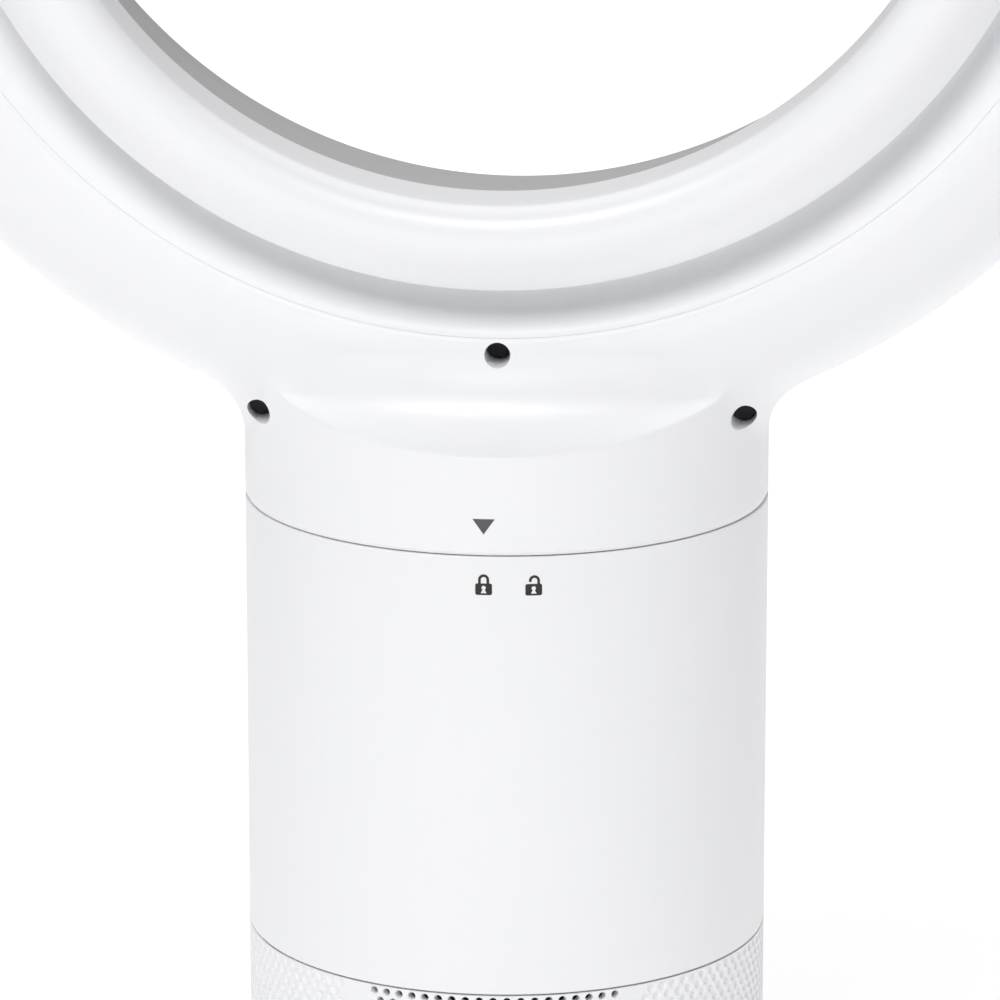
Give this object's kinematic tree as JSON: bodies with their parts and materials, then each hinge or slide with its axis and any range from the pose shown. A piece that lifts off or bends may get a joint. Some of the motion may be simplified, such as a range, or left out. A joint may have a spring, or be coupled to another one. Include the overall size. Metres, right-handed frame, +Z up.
{
  "type": "bladeless fan",
  "caption": "White table fan with an air ring on a cylindrical body that tilts, on a base that swings from side to side.",
  "frame": {"origin": "middle of the foot's underside, on the table", "axes": "+Z up along the body, -Y to the front where the air leaves, +X to the fan's left seen from the front"},
  "size_m": [0.306, 0.148, 0.5116],
  "materials": {
    "shell_white": "satin injection-moulded ABS",
    "throat_grey": "satin injection-moulded ABS, light grey",
    "inner_plastic": "matt moulded plastic",
    "dark_plastic": "matt moulded plastic",
    "rubber": "matt moulded rubber",
    "steel": "bright zinc-plated",
    "copper": "enamelled copper wire",
    "circuit_board": "solder-masked laminate",
    "foam": "open-cell foam",
    "lens": "smoked polished plastic",
    "button_grey": "fine matt moulded plastic"
  },
  "bodies": {
    "foot": {"rubber_foot_1": "rubber", "rubber_foot_2": "rubber", "rubber_foot_3": "rubber", "rubber_foot_4": "rubber", "foot_plate": "shell_white", "power_socket": "dark_plastic", "slide_ring": "inner_plastic", "fixed_gear": "inner_plastic", "retaining_ring": "steel"},
    "base": {"base_chassis": "inner_plastic", "base_shell": "shell_white", "tilt_cradle": "inner_plastic", "power_board": "circuit_board", "oscillation_motor": "steel", "control_panel": "shell_white", "display_lens": "lens", "control_board": "circuit_board"},
    "pinion": {"drive_pinion": "inner_plastic"},
    "power_key": {"power_button": "button_grey"},
    "speed_down_key": {"speed_down_button": "button_grey"},
    "speed_up_key": {"speed_up_button": "button_grey"},
    "oscillation_key": {"oscillation_button": "button_grey"},
    "body": {"tilt_sled": "shell_white", "tilt_rail_left": "inner_plastic", "tilt_rail_right": "inner_plastic", "silencing_foam": "foam", "inlet_grille": "shell_white", "body_shell": "shell_white", "bucket_damper": "rubber", "motor_bucket": "inner_plastic", "motor_housing": "inner_plastic", "lower_bearing": "steel", "upper_bearing": "steel", "stator": "copper", "vane_ring": "inner_plastic", "upper_foam": "foam", "bayonet_ring": "inner_plastic", "outlet_seal": "rubber"},
    "rotor": {"impeller": "inner_plastic", "motor_shaft": "steel", "rotor_magnet": "steel"},
    "ring": {"ring_shell": "shell_white", "throat_wall": "throat_grey", "rear_lip": "shell_white", "groove_band": "shell_white", "bayonet_skirt": "inner_plastic", "rear_screw": "steel", "left_screw": "steel", "right_screw": "steel"}
  },
  "joints": [
    {"name": "oscillation", "type": "hinge", "parent": "foot", "child": "base", "pos_m": [0, 0, 0.014], "axis": [0, 0, 1], "range_deg": [-45, 45]},
    {"name": "pinion_spin", "type": "hinge", "parent": "base", "child": "pinion", "pos_m": [0, 0.0295, 0.006], "axis": [0, 0, 1], "range_deg": [-132, 132]},
    {"name": "tilt", "type": "hinge", "parent": "base", "child": "body", "pos_m": [0, 0, 0.142], "axis": [1, 0, 0], "range_deg": [-10, 10]},
    {"name": "rotor_spin", "type": "hinge", "parent": "body", "child": "rotor", "pos_m": [0, 0, 0.1], "axis": [0, 0, 1], "continuous": true},
    {"name": "ring_twist", "type": "hinge", "parent": "body", "child": "ring", "pos_m": [0, 0, 0.192], "axis": [0, 0, 1], "range_deg": [0, 10]},
    {"name": "power_press", "type": "slide", "parent": "base", "child": "power_key", "axis": [0.5, 0.866, 0], "range_m": [0, 0.0008], "stiffness_N_per_m": 600},
    {"name": "speed_down_press", "type": "slide", "parent": "base", "child": "speed_down_key", "axis": [0.2588, 0.9659, 0], "range_m": [0, 0.0008], "stiffness_N_per_m": 600},
    {"name": "speed_up_press", "type": "slide", "parent": "base", "child": "speed_up_key", "axis": [-0.2588, 0.9659, 0], "range_m": [0, 0.0008], "stiffness_N_per_m": 600},
    {"name": "oscillation_press", "type": "slide", "parent": "base", "child": "oscillation_key", "axis": [-0.5, 0.866, 0], "range_m": [0, 0.0008], "stiffness_N_per_m": 600}
  ],
  "couplings": [
    {"joint": "pinion_spin", "follows": "oscillation", "ratio": 2.9333}
  ]
}
